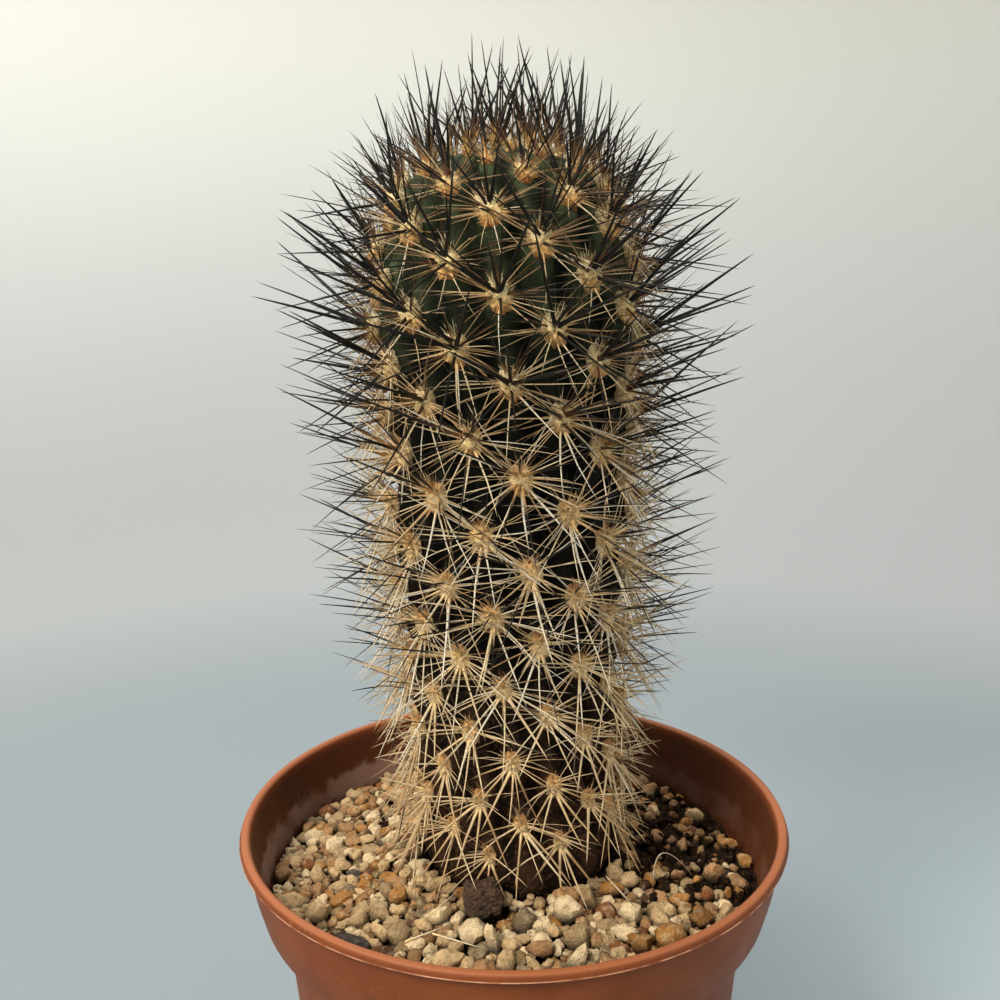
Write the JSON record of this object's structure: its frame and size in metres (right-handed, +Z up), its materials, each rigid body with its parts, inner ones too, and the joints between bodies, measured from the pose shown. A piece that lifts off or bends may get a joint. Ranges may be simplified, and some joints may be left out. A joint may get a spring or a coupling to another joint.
{
  "type": "potted neoporteria villosa",
  "caption": "Spiny column cactus with tubercled ribs and woolly areoles, in a round plastic nursery pot filled with soil and topped with pebbles.",
  "frame": {"origin": "centre of the pot's underside, on the surface that it stands on", "axes": "+Z up along the pot's and the stem's axis, -Y towards the side that the picture shows, +X to its right"},
  "size_m": [0.105, 0.105, 0.2326],
  "materials": {
    "terracotta_plastic": "satin",
    "potting_mix": "matte",
    "pebbles": "matte",
    "dark_stone": "matte",
    "cactus_skin": "matte"
  },
  "bodies": {
    "root": {"pot": "terracotta_plastic", "soil": "potting_mix", "gravel": "pebbles", "dark_chunk": "dark_stone", "cactus": "cactus_skin"}
  },
  "joints": []
}
